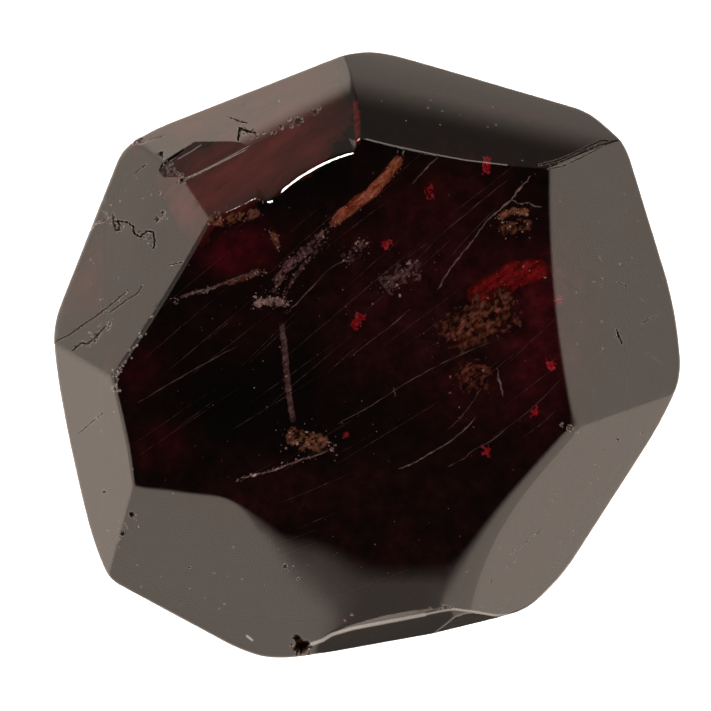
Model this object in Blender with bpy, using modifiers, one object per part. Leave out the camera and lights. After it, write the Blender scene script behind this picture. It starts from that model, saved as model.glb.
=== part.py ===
"""Garnet crystal, a single stone 40 mm across with broad polished flats.

The stone lies on the level flat of its underside, below the table, which is the broad and gently
domed top. Metres, +Z up, origin on the surface that the stone rests on, under its middle.

A flat is a plane given by three values: the azimuth that it slopes towards (0 is +X, 90 is +Y, the
back), the tilt of its outward normal from straight up, and its reach, which is the distance in plan
from the upright axis to the plane, measured at a named height.
"""

import math
import random

import bmesh
import bpy
from mathutils import Matrix, Vector

MM = 0.001
OBJECT_NAME = "garnet_crystal"

# Driving dimensions, in millimetres and degrees.
STONE_HEIGHT = 25.0
BLANK_SIZE = 60.0
EDGE_ROUNDING = 0.5
EDGE_SEGMENTS = 3
EDGE_ANGLE = math.radians(8.0)

# The table is a shallow dome that rolls over towards the front.
DOME_RADIUS_X = 60.0
DOME_RADIUS_Y = 160.0
DOME_TOP = (1.3, 1.7)
FRONT_ROLL_START = -8.0
FRONT_ROLL_RADIUS = 19.0
DOME_STEPS_X = (-13.0, -8.5, -3.5, 1.3, 6.0, 11.0)
DOME_STEPS_Y = (-18.5, -16.5, -14.5, -12.5, -10.5, -8.0, 1.7, 11.0)

# Crown flats: azimuth, tilt, and reach at the height of the table's middle.
CROWN_FLATS = {
    "back_left_outer": (121.0, 50.0, 12.0),
    "back_left_inner": (122.0, 44.0, 11.2),
    "back": (77.0, 42.0, 12.7),
    "right": (5.0, 32.0, 10.6),
    "front_right": (-38.0, 48.0, 12.0),
    "front_left": (-122.0, 36.0, 11.1),
    "left": (-168.0, 56.0, 14.2),
    "left_back": (154.0, 48.0, 11.4),
}

# Side walls: azimuth, and reach at the height where they meet the crown.
WALL_TILT = 95.0
WALL_TOP_DROP = 6.5
WALLS = {
    "back_left": (110.0, 18.3),
    "back_tip": (90.0, 19.4),
    "back_right": (73.0, 18.9),
    "back_right_corner": (44.0, 20.9),
    "right_back": (18.0, 19.6),
    "right": (6.0, 19.8),
    "right_tip": (-20.0, 19.2),
    "front_right": (-32.0, 18.2),
    "front_right_corner": (-49.0, 19.0),
    "front": (-79.0, 17.9),
    "front_tip": (-100.0, 20.0),
    "front_left": (-118.0, 20.3),
    "left_front_corner": (-152.0, 21.1),
    "left_front": (-166.0, 19.8),
    "left": (-172.0, 19.7),
    "left_tip": (180.0, 20.0),
    "left_back": (159.0, 19.4),
    "left_back_corner": (126.0, 19.9),
}

# The underside has the crown's flats again, each turned through the stone's centre, because a
# crystal's faces come in parallel pairs. They sit a little closer in than the crown's own.
UNDERSIDE_REACH = 0.95

# A long shallow chip below the table's front lip, hollow as if scooped by a lying cylinder: the
# cylinder's middle, radius and length, its turn about Z, and the dip of its left end.
LIP_CHIP_CENTRE = (2.6, -20.2, 25.5)
LIP_CHIP_RADIUS = 5.0
LIP_CHIP_LENGTH = 30.0
LIP_CHIP_TURN = 14.0
LIP_CHIP_DIP = 8.0
LIP_CHIP_SEGMENTS = 96

# A flake lost from the left end of the edge between the two back-left flats. Its scar runs down to
# the rim line, and a step along that edge bounds it: both are azimuth and tilt.
FLAKE_EDGE_END = (-7.3, 13.0)
FLAKE_SCAR = (128.0, 45.0)
FLAKE_STEP = (118.0, 76.0)
FLAKE_BLOCK_SIZE = 8.0
FLAKE_BLOCK_OFFSET = (-3.9, 2.2, 1.5)

# Small chips: x, y and radius. Each one's height is found on the crown.
CHIP_SEED = 7
CHIP_ROUGHNESS = 0.3
CHIP_LIFT = 0.35
CHIPS = {
    "back_left_edge": ((-12.95, 12.75, 0.50), (-12.7, 12.1, 0.42), (-12.3, 11.5, 0.50), (-11.6, 11.0, 0.38)),
    "back_left_brow": ((-4.2, 14.8, 0.32), (-3.2, 15.35, 0.28)),
    "back_left_corner": ((-14.5, 13.7, 0.40),),
    "front_tip": ((-3.95, -18.5, 0.60), (-4.3, -17.95, 0.30)),
    "right_corner": ((12.9, -4.6, 0.32),),
    "left_corner": ((-15.5, -1.0, 0.34), (-15.75, -2.2, 0.30)),
    "left_front_edge": ((-14.75, -10.1, 0.26), (-15.3, -11.3, 0.26)),
}


def slope_normal(azimuth, tilt):
    """Unit normal that leans from straight up by tilt, towards azimuth, both in degrees."""
    azimuth = math.radians(azimuth)
    tilt = math.radians(tilt)
    return Vector((math.cos(azimuth) * math.sin(tilt), math.sin(azimuth) * math.sin(tilt), math.cos(tilt)))


def plan_point(azimuth, reach, height):
    """Point at a reach from the upright axis towards azimuth, at a height, in millimetres."""
    azimuth = math.radians(azimuth)
    return Vector((math.cos(azimuth) * reach, math.sin(azimuth) * reach, height))


def grind(bm, point, normal):
    """Remove what lies outside the plane and close the stone with the new flat."""
    everything = bm.verts[:] + bm.edges[:] + bm.faces[:]
    cut = bmesh.ops.bisect_plane(
        bm, geom=everything, dist=1e-4, plane_co=point, plane_no=normal, clear_outer=True
    )
    rim = [item for item in cut["geom_cut"] if isinstance(item, bmesh.types.BMEdge)]
    if rim:
        bmesh.ops.contextual_create(bm, geom=rim)


def dome_drop(x, y):
    """Depth of the domed table below its middle, in millimetres."""
    roll = max(0.0, FRONT_ROLL_START - y)
    across = (x - DOME_TOP[0]) ** 2 / (2.0 * DOME_RADIUS_X)
    along = (y - DOME_TOP[1]) ** 2 / (2.0 * DOME_RADIUS_Y)
    return across + along + roll ** 2 / (2.0 * FRONT_ROLL_RADIUS)


def dome_normal(x, y):
    roll = max(0.0, FRONT_ROLL_START - y)
    slope_x = (x - DOME_TOP[0]) / DOME_RADIUS_X
    slope_y = (y - DOME_TOP[1]) / DOME_RADIUS_Y - roll / FRONT_ROLL_RADIUS
    return Vector((slope_x, slope_y, 1.0)).normalized()


def grind_table(bm):
    for x in DOME_STEPS_X:
        for y in DOME_STEPS_Y:
            grind(bm, Vector((x, y, STONE_HEIGHT - dome_drop(x, y))), dome_normal(x, y))


def grind_crown(bm):
    for azimuth, tilt, reach in CROWN_FLATS.values():
        grind(bm, plan_point(azimuth, reach, STONE_HEIGHT), slope_normal(azimuth, tilt))


def grind_walls(bm):
    for azimuth, reach in WALLS.values():
        grind(bm, plan_point(azimuth, reach, STONE_HEIGHT - WALL_TOP_DROP), slope_normal(azimuth, WALL_TILT))


def grind_underside(bm):
    for azimuth, tilt, reach in CROWN_FLATS.values():
        opposite = azimuth + 180.0
        point = plan_point(opposite, reach * UNDERSIDE_REACH, 0.0)
        grind(bm, point, slope_normal(opposite, 180.0 - tilt))


def ground_stone():
    """The stone with all its flats, as a mesh in millimetres."""
    bm = bmesh.new()
    middle = Matrix.Translation((0.0, 0.0, BLANK_SIZE / 2.0))
    bmesh.ops.create_cube(bm, size=BLANK_SIZE, matrix=middle)
    grind_table(bm)
    grind_crown(bm)
    grind_walls(bm)
    grind_underside(bm)
    bmesh.ops.recalc_face_normals(bm, faces=bm.faces)
    return bm


def crown_height(x, y):
    """Height of the ground crown above a point in plan, in millimetres."""
    heights = [STONE_HEIGHT - dome_drop(x, y)]
    for azimuth, tilt, reach in CROWN_FLATS.values():
        normal = slope_normal(azimuth, tilt)
        point = plan_point(azimuth, reach, STONE_HEIGHT)
        heights.append(point.z - (normal.x * (x - point.x) + normal.y * (y - point.y)) / normal.z)
    return min(heights)


def lip_chip():
    """The lying cylinder that scoops the lens-shaped chip below the front lip."""
    bm = bmesh.new()
    bmesh.ops.create_cone(
        bm,
        cap_ends=True,
        segments=LIP_CHIP_SEGMENTS,
        radius1=LIP_CHIP_RADIUS,
        radius2=LIP_CHIP_RADIUS,
        depth=LIP_CHIP_LENGTH,
    )
    lie_down = Matrix.Rotation(math.radians(90.0 - LIP_CHIP_DIP), 3, "Y")
    turn = Matrix.Rotation(math.radians(LIP_CHIP_TURN), 3, "Z")
    bmesh.ops.rotate(bm, cent=(0.0, 0.0, 0.0), matrix=turn @ lie_down, verts=bm.verts)
    bmesh.ops.translate(bm, vec=LIP_CHIP_CENTRE, verts=bm.verts)
    return bm


def flake_block():
    """The block that the flake took away: a cube ground to the scar below it and the step beside it."""
    x, y = FLAKE_EDGE_END
    edge_end = Vector((x, y, crown_height(x, y)))
    middle = edge_end + Vector(FLAKE_BLOCK_OFFSET)
    bm = bmesh.new()
    bmesh.ops.create_cube(bm, size=FLAKE_BLOCK_SIZE, matrix=Matrix.Translation(middle))
    grind(bm, edge_end, -slope_normal(*FLAKE_SCAR))
    grind(bm, edge_end, -slope_normal(*FLAKE_STEP))
    bmesh.ops.recalc_face_normals(bm, faces=bm.faces)
    return bm


def small_chip(x, y, radius, dice):
    """A rough little ball that bites a dent into the crown."""
    bm = bmesh.new()
    bmesh.ops.create_icosphere(bm, subdivisions=2, radius=radius)
    for vert in bm.verts:
        vert.co *= 1.0 + CHIP_ROUGHNESS * dice.uniform(-1.0, 1.0)
    bmesh.ops.translate(bm, vec=(x, y, crown_height(x, y) + radius * CHIP_LIFT), verts=bm.verts)
    return bm


def garnet_material():
    """Deep red garnet with a glassy polish."""
    material = bpy.data.materials.new("garnet")
    material.use_nodes = True
    shader = material.node_tree.nodes["Principled BSDF"]
    shader.inputs["Base Color"].default_value = (0.045, 0.006, 0.008, 1.0)
    shader.inputs["Roughness"].default_value = 0.12
    shader.inputs["Metallic"].default_value = 0.0
    return material


def object_from(bm, name, collection):
    """Put a mesh made in millimetres into the scene at its real size."""
    bmesh.ops.scale(bm, vec=(MM, MM, MM), verts=bm.verts)
    mesh = bpy.data.meshes.new(name)
    bm.to_mesh(mesh)
    bm.free()
    item = bpy.data.objects.new(name, mesh)
    collection.objects.link(item)
    return item


def new_collection(name):
    collection = bpy.data.collections.new(name)
    bpy.context.scene.collection.children.link(collection)
    return collection


def make_cutters(collection):
    """Everything that takes small pieces off the ground stone."""
    dice = random.Random(CHIP_SEED)
    object_from(lip_chip(), "lip_chip", collection)
    object_from(flake_block(), "flake_block", collection)
    for place, chips in CHIPS.items():
        for number, (x, y, radius) in enumerate(chips, start=1):
            object_from(small_chip(x, y, radius, dice), f"chip_{place}_{number}", collection)
    for cutter in collection.objects:
        cutter.hide_render = True
        cutter.display_type = "WIRE"


def ease_edges(stone):
    rounding = stone.modifiers.new("eased_edges", "BEVEL")
    rounding.width = EDGE_ROUNDING * MM
    rounding.segments = EDGE_SEGMENTS
    rounding.limit_method = "ANGLE"
    rounding.angle_limit = EDGE_ANGLE


def take_chips(stone, cutters):
    chipping = stone.modifiers.new("chips", "BOOLEAN")
    chipping.operation = "DIFFERENCE"
    chipping.solver = "EXACT"
    chipping.operand_type = "COLLECTION"
    chipping.collection = cutters


def build():
    for existing in list(bpy.data.objects):
        bpy.data.objects.remove(existing, do_unlink=True)
    parts = new_collection(OBJECT_NAME)
    cutters = new_collection("cutters")
    stone = object_from(ground_stone(), OBJECT_NAME, parts)
    stone.data.materials.append(garnet_material())
    make_cutters(cutters)
    ease_edges(stone)
    take_chips(stone, cutters)


build()
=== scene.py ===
"""Looks of the garnet crystal: its eased and chipped surface, the clear dark red stone, what is
sealed inside it, and a plain light tent around it.

Shapes are worked out in millimetres and made in metres. A place on the crown may be given as a spot,
(right, down) in the 711 by 711 frame that the camera looks through from straight above.
"""

import math
import random

import bmesh
import bpy
import numpy as np
from mathutils import Matrix, Vector, noise


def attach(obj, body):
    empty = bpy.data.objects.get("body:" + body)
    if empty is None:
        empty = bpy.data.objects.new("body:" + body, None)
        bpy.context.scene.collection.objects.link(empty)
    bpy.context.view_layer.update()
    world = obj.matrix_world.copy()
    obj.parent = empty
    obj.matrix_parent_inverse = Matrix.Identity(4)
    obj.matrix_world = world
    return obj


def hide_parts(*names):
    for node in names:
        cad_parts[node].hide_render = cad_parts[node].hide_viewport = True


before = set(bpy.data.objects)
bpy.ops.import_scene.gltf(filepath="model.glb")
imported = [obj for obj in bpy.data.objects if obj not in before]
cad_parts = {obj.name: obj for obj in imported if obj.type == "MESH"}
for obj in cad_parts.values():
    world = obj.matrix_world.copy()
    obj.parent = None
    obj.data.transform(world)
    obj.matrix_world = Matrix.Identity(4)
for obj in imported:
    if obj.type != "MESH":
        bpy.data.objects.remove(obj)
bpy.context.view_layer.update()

MM = 0.001
NODE = "garnet_crystal"
BODY = "root"

# ---------------------------------------------------------------- the camera

FRAME_SIZE = 711
CAMERA_ABOVE_TABLE = 600.0
CAMERA_PLAN = (-0.6, -0.06)
FIELD_AT_TABLE = 44.58
SENSOR = 36.0

# ---------------------------------------------------------------- the ground stone, mm and degrees

GARNET_IOR = 1.78
STONE_HEIGHT = 25.0
STONE_HEART = np.array((0.0, 0.0, 12.5))
DOME_RADIUS_X = 60.0
DOME_RADIUS_Y = 160.0
DOME_TOP = (1.3, 1.7)
FRONT_ROLL_START = -8.0
FRONT_ROLL_RADIUS = 19.0
DOME_EDGE = 16.0

# The table is not quite even: place, rise in mm, and spread.
TABLE_SWELLS = (
    (-8.3, -9.2, 0.38, 1.5),
    (-4.4, -14.4, -0.40, 2.2),
    (-14.2, -8.3, -0.22, 1.4),
)

# A worn shoulder at the back left of the table, a rounded step on a ring about this place.
SHOULDER_CENTRE = (1.9, 2.0)
SHOULDER_START = 10.2
SHOULDER_RADIUS = 3.0
SHOULDER_WIDTH = 1.3
SHOULDER_MIDDLE = 120.0
SHOULDER_HALF_WIDTH = 15.0
SHOULDER_FADE = 3.5

# Crown flats: azimuth, tilt, reach at the height of the table's middle.
CROWN_FLATS = {
    "back_left_outer": (121.0, 50.0, 12.0),
    "back_left_inner": (122.0, 44.0, 11.2),
    "back": (77.0, 42.0, 12.7),
    "right": (5.0, 32.0, 10.6),
    "front_right": (-38.0, 48.0, 12.0),
    "front_left": (-122.0, 36.0, 11.1),
    "left": (-168.0, 56.0, 14.2),
    "left_back": (154.0, 48.0, 11.4),
}
CROWN_CORNER_EASE = 0.09

# How quickly the softness of one flat gives way to its neighbour's.
EASE_SHARPNESS = 6.0

# How softly each flat meets the table (0.1 is a crisp edge, 0.9 a broad rubbed one), at two places
# from left to right.
TABLE_EASES = {
    "back_left_outer": ((-10.0, 0.06), (0.0, 0.06)),
    "back_left_inner": ((-8.0, 0.05), (0.0, 0.05)),
    "back": ((0.0, 0.10), (10.0, 0.10)),
    "right": ((8.0, 0.12), (12.0, 0.12)),
    "front_right": ((6.0, 0.75), (12.0, 0.45)),
    "front_left": ((-8.6, 0.10), (-6.5, 0.40)),
    "left": ((-15.0, 0.16), (-12.0, 0.16)),
    "left_back": ((-14.0, 0.14), (-9.0, 0.14)),
}

# The back flat is slightly hollow-backed: it steepens away from the table.
BACK_FLAT_RADIUS = 36.0
BACK_FLAT_STEEPENS_AT = 24.0

# Side walls: azimuth, and reach at the height where they meet the crown.
WALL_TILT = 95.0
WALL_TOP_DROP = 6.5
WALLS = {
    "back_left": (110.0, 18.3),
    "back_tip": (90.0, 19.4),
    "back_right": (73.0, 18.9),
    "back_right_corner": (44.0, 20.9),
    "right_back": (18.0, 19.6),
    "right": (6.0, 19.8),
    "right_tip": (-20.0, 19.2),
    "front_right": (-32.0, 18.2),
    "front_right_corner": (-49.0, 19.0),
    "front": (-79.0, 17.9),
    "front_tip": (-100.0, 20.0),
    "front_left": (-118.0, 20.3),
    "left_front_corner": (-152.0, 21.1),
    "left_front": (-166.0, 19.8),
    "left": (-172.0, 19.7),
    "left_tip": (180.0, 20.0),
    "left_back": (159.0, 19.4),
    "left_back_corner": (126.0, 19.9),
}
WALL_CORNER_EASE = 0.50
WALL_EASE = 0.22
UNDERSIDE_REACH = 0.95
UNDERSIDE_EASE = 0.25

LIP_CHIP_CENTRE = np.array((2.6, -20.05, 25.4))
LIP_CHIP_RADIUS = 5.0
LIP_CHIP_TURN = 14.0
LIP_CHIP_DIP = 9.0
LIP_CHIP_EASE = 0.05

# A small steep flat that carries the chip on to the right: place, azimuth and tilt.
LIP_BEVEL_PLACE = np.array((5.35, -16.05, 22.67))
LIP_BEVEL_AZIMUTH = -63.7
LIP_BEVEL_TILT = 59.1
LIP_BEVEL_EASE = 0.08

FLAKE_EDGE_END = (-7.3, 13.0)
FLAKE_SCAR = (128.0, 45.0)
FLAKE_STEP = (118.0, 76.0)
FLAKE_BLOCK_HALF = 4.0
FLAKE_BLOCK_OFFSET = (-3.9, 2.2, 1.5)

# Small chips: x, y, radius and dirt.
CHIPS = (
    (-12.95, 12.75, 0.20, 0.7),
    (-12.65, 12.15, 0.18, 0.8),
    (-12.25, 11.6, 0.24, 0.5),
    (-11.6, 11.0, 0.20, 0.7),
    (-4.2, 14.8, 0.30, 0.5),
    (-3.2, 15.35, 0.24, 0.5),
    (-14.5, 13.7, 0.34, 0.3),
    (-3.95, -18.5, 0.55, 1.0),
    (-4.3, -17.95, 0.28, 0.9),
    (12.9, -4.6, 0.22, 0.4),
    (-15.5, -1.0, 0.20, 0.3),
    (-15.75, -2.2, 0.18, 0.3),
    (-14.75, -10.1, 0.20, 0.9),
    (-15.3, -11.3, 0.20, 0.8),
)
CHIP_LIFT = 0.35
CHIP_ROUGHNESS = 0.25
CHIP_DIRT_REACH = 0.8
CHIP_SEED = 3

# Cracks wander by this much of their half width, over this length in mm.
CRACK_RAGGEDNESS = 0.75
CRACK_GRAIN = 0.055

# Hairline cracks and scratches of the crown: half width and depth in mm, dirt from 0 (clean) to 1
# (filled with rust-black), and the spots that each runs through.
CRACKS = {
    "zigzag_outer": (0.06, 0.12, 0.60, ((88, 232), (96, 223), (103, 221.5), (107, 218), (105, 214))),
    "zigzag_inner": (0.07, 0.14, 0.65, (
        (113, 214), (113.5, 222), (116, 230), (119, 231), (119.6, 225), (117.6, 221), (126.7, 222),
        (133, 226), (134.4, 234), (140, 237), (147, 231), (153.3, 232), (154.8, 241.4), (153.8, 248.6),
    )),
    "left_back_long": (0.05, 0.12, 0.55, (
        (52, 346), (57, 341), (70.6, 334), (84, 324), (95, 317), (106, 308.6), (121.6, 296), (128, 290),
    )),
    "left_back_short": (0.05, 0.12, 0.60, ((72.7, 351), (81, 343), (88, 344), (97, 336), (106, 326))),
    "left_back_upper": (0.05, 0.10, 0.50, ((111, 311.6), (126.7, 300), (138, 293), (142, 286))),
    "left_back_faint": (0.04, 0.09, 0.35, ((134, 175), (141, 168), (146, 165))),
    "left_back_dash": (0.05, 0.09, 0.30, ((169.6, 265), (183, 262))),
    "outer_hairline": (0.04, 0.10, 0.50, ((139, 144), (150, 140), (163.5, 136))),
    "outer_marks": (0.05, 0.12, 0.55, ((229, 117), (238, 121), (247, 123))),
    "outer_angular": (0.07, 0.17, 0.85, ((238, 141), (240, 128), (246, 131), (256, 133))),
    "right_slit": (0.06, 0.17, 0.80, ((616.5, 330), (619, 337), (621.6, 343))),
    "right_upper": (0.03, 0.09, 0.40, ((616.5, 281.6), (626.7, 285.7))),
    "right_middle": (0.03, 0.09, 0.40, ((641, 323.5), (657.3, 315.3))),
    "right_lower": (0.03, 0.09, 0.40, ((646, 352), (661.4, 363.3))),
    "front_right_scratch": (0.03, 0.05, 0.25, ((511, 554), (541.6, 530))),
    "left_scratch": (0.04, 0.07, 0.30, ((77.8, 434), (103, 412.7))),
    "front_left_mark": (0.04, 0.09, 0.40, ((186, 567), (190.6, 567.6))),
    "corner_groove_upper": (0.06, 0.12, 0.60, ((540, 165), (560, 160), (581, 150), (601, 140.5), (609, 141))),
    "corner_groove_lower": (0.04, 0.09, 0.45, ((548, 169), (563, 166), (584, 156), (603, 146))),
}

# Pits and specks of the crown: spot, radius and depth in mm, and dirt.
PITS = (
    ((158, 219.5), 0.20, 0.05, 0.55),
    ((163.5, 213), 0.16, 0.05, 0.50),
    ((159.4, 193.5), 0.10, 0.04, 0.40),
    ((110.4, 205), 0.06, 0.05, 0.35),
    ((199, 121), 0.06, 0.05, 0.55),
    ((129.0, 138.0), 0.10, 0.08, 0.90),
    ((104.4, 492), 0.10, 0.07, 0.80),
    ((131, 516.5), 0.10, 0.06, 0.60),
    ((122, 534), 0.08, 0.05, 0.50),
    ((117, 538), 0.07, 0.05, 0.50),
    ((214, 572.7), 0.06, 0.04, 0.45),
    ((140.6, 587), 0.06, 0.04, 0.40),
    ((285.3, 566), 0.16, 0.07, 0.55),
    ((298.6, 579), 0.09, 0.05, 0.45),
    ((301.6, 648), 0.46, 0.22, 1.00),
    ((298, 638.5), 0.18, 0.10, 0.90),
    ((351.6, 615), 0.06, 0.05, 0.30),
    ((345, 621), 0.06, 0.05, 0.30),
    ((604, 279), 0.06, 0.04, 0.60),
    ((600.7, 285.7), 0.05, 0.04, 0.50),
    ((601, 259), 0.05, 0.04, 0.50),
    ((577.8, 344), 0.06, 0.04, 0.50),
    ((581, 322.4), 0.05, 0.04, 0.45),
    ((642, 300), 0.06, 0.04, 0.50),
    ((659.4, 285.7), 0.05, 0.04, 0.45),
    ((625.7, 210), 0.05, 0.04, 0.40),
    ((638, 220.4), 0.06, 0.04, 0.50),
    ((570.6, 242), 0.05, 0.04, 0.40),
    ((618, 439.5), 0.10, 0.06, 0.70),
    ((604, 450), 0.07, 0.05, 0.55),
    ((642, 433), 0.07, 0.05, 0.50),
    ((595, 463), 0.06, 0.04, 0.45),
    ((490.7, 581), 0.07, 0.05, 0.50),
    ((507, 567), 0.05, 0.04, 0.45),
    ((445, 608), 0.16, 0.06, 0.40),
)
PIT_RAGGEDNESS = 0.55

# Runs of crumbled surface, made of many small pits: how many, how far they stray from the run,
# largest radius, dirt, rub, and the spots that each runs through.
CRUMBS = {
    "zigzag": (26, 0.13, 0.09, 0.9, 0.0, ((104, 216), (113, 218), (120, 227), (134, 232), (154, 240))),
    "zigzag_end": (12, 0.10, 0.08, 0.8, 0.0, ((132, 233), (146, 238), (154, 247))),
    "under_zigzag": (10, 0.22, 0.07, 0.7, 0.0, ((150, 192), (160, 205), (164, 222))),
    "long_crack": (16, 0.15, 0.10, 0.7, 0.0, ((80, 346), (106, 320), (126, 296))),
    "long_crack_low": (14, 0.12, 0.12, 0.7, 0.0, ((86, 345), (97, 337), (112, 324))),
    "brow": (18, 0.20, 0.10, 1.0, 0.0, ((156, 150), (164, 162), (175, 172), (188, 180))),
    "brow_high": (10, 0.25, 0.09, 0.9, 0.0, ((158, 158), (166, 170), (178, 176))),
    "left_point": (34, 0.16, 0.09, 0.25, 0.2, ((152, 318), (136, 345), (117, 372), (115, 392))),
    "outer_edge": (14, 0.12, 0.12, 0.9, 0.0, ((262, 137), (276, 131), (300, 118), (330, 100))),
    "outer_notch": (12, 0.16, 0.08, 0.9, 0.0, ((236, 138), (244, 130), (256, 134))),
    "right_point": (10, 0.14, 0.08, 0.5, 0.15, ((560, 424), (572, 432))),
    "lip_hole": (14, 0.25, 0.14, 1.0, 0.0, ((290, 641), (299, 648), (308, 652))),
    "lip_dashes": (10, 0.07, 0.08, 0.9, 0.0, ((430, 610), (440, 608), (452, 607))),
    "back_corner": (9, 0.10, 0.06, 0.8, 0.0, ((536, 170), (560, 165), (590, 150), (608, 142))),
    "inner_brow": (5, 0.08, 0.06, 0.8, 0.0, ((213, 214), (226, 208), (244, 204), (262, 196))),
    "front_left_edge": (12, 0.25, 0.06, 0.7, 0.0, ((136, 512), (128, 530), (112, 548))),
    "right_face": (26, 1.6, 0.045, 0.6, 0.0, ((590, 215), (612, 290), (634, 360), (640, 410))),
    "left_back_face": (20, 1.3, 0.05, 0.5, 0.02, ((120, 190), (100, 260), (90, 310))),
    "left_face": (10, 1.2, 0.05, 0.5, 0.0, ((85, 400), (100, 470), (112, 530))),
    "front_right_face": (16, 1.2, 0.05, 0.5, 0.0, ((600, 455), (560, 510), (515, 575))),
    "front_left_face": (16, 1.6, 0.05, 0.5, 0.0, ((160, 540), (220, 570), (270, 610))),
    "outer_face": (12, 0.6, 0.05, 0.5, 0.0, ((170, 130), (240, 105), (300, 85))),
    "back_face": (14, 1.0, 0.05, 0.5, 0.04, ((380, 95), (450, 115), (540, 130))),
}
CRUMB_SMALLEST = 0.35
CRUMB_STEEPNESS = 0.25
CRUMB_SEED = 17

# Marks of the crown fade out down the side walls: the height where they are gone, and over what.
MARKS_GONE_BELOW = 16.0
MARKS_FADE = 2.0

# Edges rubbed pale and rough by wear; their pale colour also paints the thin highlights along the
# front lip, the back of the table and the flake's edge: half width in mm, how rubbed from 0 to 1, and spots.
WORN_EDGES_AND_HIGHLIGHTS = {
    "front_lip": (0.12, 0.12, (
        (309, 645), (322, 640.6), (332, 634.5), (352.7, 628.4), (380, 623.3), (406.4, 618.2), (425, 614.5),
    )),
    "front_lip_right": (0.08, 0.08, (
        (425, 614.5), (439, 611.5), (453.6, 609.1), (473, 611.5), (497, 615.7), (520, 613.5),
    )),
    "table_back": (0.04, 0.04, ((366, 139), (395, 146), (430, 153.5), (465, 160), (507, 165))),
    "flake_step": (0.03, 0.05, ((183, 181), (217, 163), (249, 146))),
    "flake_scratch": (0.03, 0.05, ((178, 159), (190, 152), (201, 145))),
    "front_left_notch": (0.08, 0.12, ((247, 636), (252, 640))),
}

# A slow unevenness left by hand polishing: height and the range of its wavelengths.
WAVE_HEIGHT = 0.004
WAVE_LENGTHS = (3.0, 7.0)
WAVE_COUNT = 7
WAVE_SEED = 11

# ---------------------------------------------------------------- mesh fineness

# The mesh starts as a ball around the stone's heart, settles on the surface within the spread to
# either side, and is then split and settled again where the surface bends or is marked.
START_SUBDIVISIONS = 6
START_RADIUS = 20.0
START_SPREAD = 19.0
REFINE_SPREAD = 1.0
REFINE_PASSES = 5
REFINE_ANGLE = math.radians(4.0)
FINEST_CROWN_EDGE = 0.10
FINEST_UNDER_EDGE = 0.30
FINEST_MARK_EDGE = 0.065
FAR_FROM_MARKS = 0.5
FINE_ABOVE = 14.5
UNDER_CROWN = 10.0
SURFACE_STEPS = 18
GRADIENT_STEP = 0.004
NORMAL_STEP = 0.01

# ---------------------------------------------------------------- the shape of the stone


def axis_of(azimuth, tilt):
    """Unit normal that leans from straight up by tilt, towards azimuth, both in degrees."""
    azimuth = math.radians(azimuth)
    tilt = math.radians(tilt)
    level = math.sin(tilt)
    return np.array((math.cos(azimuth) * level, math.sin(azimuth) * level, math.cos(tilt)))


def plan_point(azimuth, reach, height):
    """Point at a height, reach away from the upright axis towards azimuth."""
    azimuth = math.radians(azimuth)
    return np.array((math.cos(azimuth) * reach, math.sin(azimuth) * reach, height))


def softer_max(a, b, ease):
    """The greater of two distances, with the crease between them rounded over a band of 2 * ease."""
    blend = np.clip(0.5 + 0.5 * (a - b) / ease, 0.0, 1.0)
    return b + (a - b) * blend + ease * blend * (1.0 - blend)


def dome_drop(x, y):
    """Depth of the domed table below its middle."""
    roll = np.maximum(0.0, FRONT_ROLL_START - y)
    across = (x - DOME_TOP[0]) ** 2 / (2.0 * DOME_RADIUS_X)
    along = (y - DOME_TOP[1]) ** 2 / (2.0 * DOME_RADIUS_Y)
    drop = across + along + roll ** 2 / (2.0 * FRONT_ROLL_RADIUS)
    for swell_x, swell_y, rise, spread in TABLE_SWELLS:
        drop = drop - rise * np.exp(-((x - swell_x) ** 2 + (y - swell_y) ** 2) / (2.0 * spread ** 2))
    out_x = x - SHOULDER_CENTRE[0]
    out_y = y - SHOULDER_CENTRE[1]
    turn = np.abs(np.degrees(np.arctan2(out_y, out_x)) - SHOULDER_MIDDLE) - SHOULDER_HALF_WIDTH
    fade = np.clip(1.0 - turn / SHOULDER_FADE, 0.0, 1.0)
    fade = fade * fade * (3.0 - 2.0 * fade)
    shoulder = np.maximum(0.0, np.hypot(out_x, out_y) - SHOULDER_START)
    rounded = np.minimum(shoulder, SHOULDER_WIDTH)
    return drop + fade * rounded * (shoulder - rounded / 2.0) / SHOULDER_RADIUS


def table_distance(p):
    """Height above the domed table, made shorter where the dome slopes."""
    x = np.clip(p[:, 0], -DOME_EDGE, DOME_EDGE)
    slope_x = (x - DOME_TOP[0]) / DOME_RADIUS_X
    roll = np.maximum(0.0, FRONT_ROLL_START - p[:, 1])
    slope_y = (p[:, 1] - DOME_TOP[1]) / DOME_RADIUS_Y - roll / FRONT_ROLL_RADIUS
    height = STONE_HEIGHT - dome_drop(p[:, 0], p[:, 1])
    return (p[:, 2] - height) / np.sqrt(1.0 + slope_x ** 2 + slope_y ** 2)


def flat_distance(p, azimuth, tilt, reach, height):
    """Distance outside a flat that passes through a point in plan at a height."""
    return (p - plan_point(azimuth, reach, height)) @ axis_of(azimuth, tilt)


def crown_distance(p):
    """The table and the crown flats. Each flat has its own softness where it meets the table."""
    flats = []
    for name, (azimuth, tilt, reach) in CROWN_FLATS.items():
        distance = flat_distance(p, azimuth, tilt, reach, STONE_HEIGHT)
        if name == "back":
            below = np.maximum(0.0, BACK_FLAT_STEEPENS_AT - p[:, 2]) / math.sin(math.radians(tilt))
            distance = distance + below ** 2 / (2.0 * BACK_FLAT_RADIUS)
        flats.append(distance)
    flats = np.array(flats)
    eases = np.array([np.interp(p[:, 0], *zip(*TABLE_EASES[name])) for name in CROWN_FLATS])
    share = np.exp(EASE_SHARPNESS * (flats - flats.max(axis=0)))
    table_ease = (share * eases).sum(axis=0) / share.sum(axis=0)
    ring = flats[0]
    for distance in flats[1:]:
        ring = softer_max(ring, distance, CROWN_CORNER_EASE)
    return softer_max(table_distance(p), ring, table_ease)


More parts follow.
